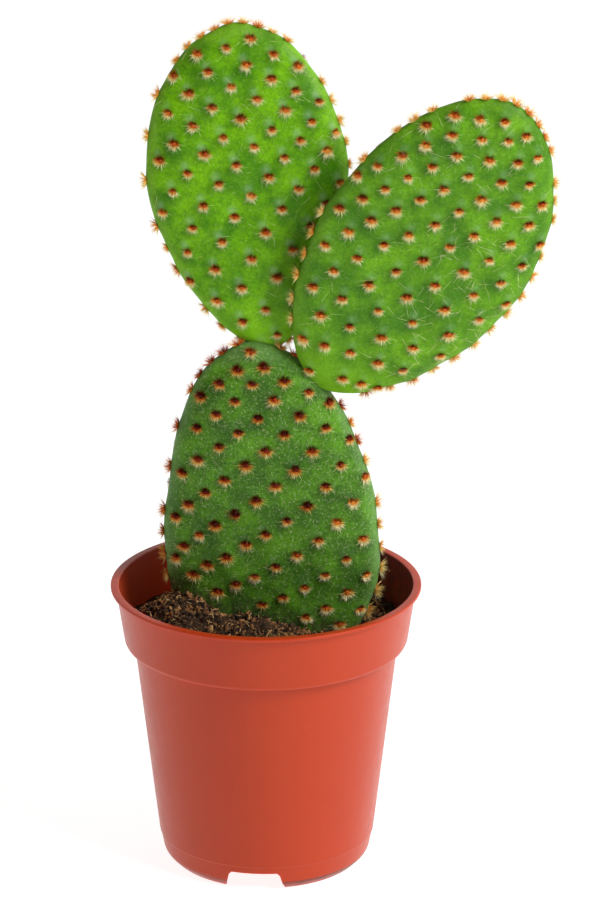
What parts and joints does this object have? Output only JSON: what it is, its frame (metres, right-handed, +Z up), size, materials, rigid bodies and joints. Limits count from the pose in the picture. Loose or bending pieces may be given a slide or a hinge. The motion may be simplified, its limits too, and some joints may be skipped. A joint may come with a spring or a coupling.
{
  "type": "potted paddle cactus",
  "caption": "Paddle cactus with flat upright pads set with bristle tufts, standing in soil in a round tapered plastic nursery pot.",
  "frame": {"origin": "middle of the whole footprint's bounding box, pot and pads together, at the height of the pot's feet", "axes": "+Z up; -Y the side the plant shows to the viewer, square to the broad faces of the pads; +X the viewer's right, the side the right pad leans to. The pot's axis is 22.7 mm on the -X side of the origin."},
  "size_m": [0.1504, 0.105, 0.293],
  "materials": {
    "pot_plastic": "satin",
    "soil": "matte",
    "pad_old": "satin",
    "pad_young": "satin"
  },
  "bodies": {
    "root": {"pot": "pot_plastic", "soil": "soil", "pad_base": "pad_old", "pad_left": "pad_young", "pad_right": "pad_young"}
  },
  "joints": []
}
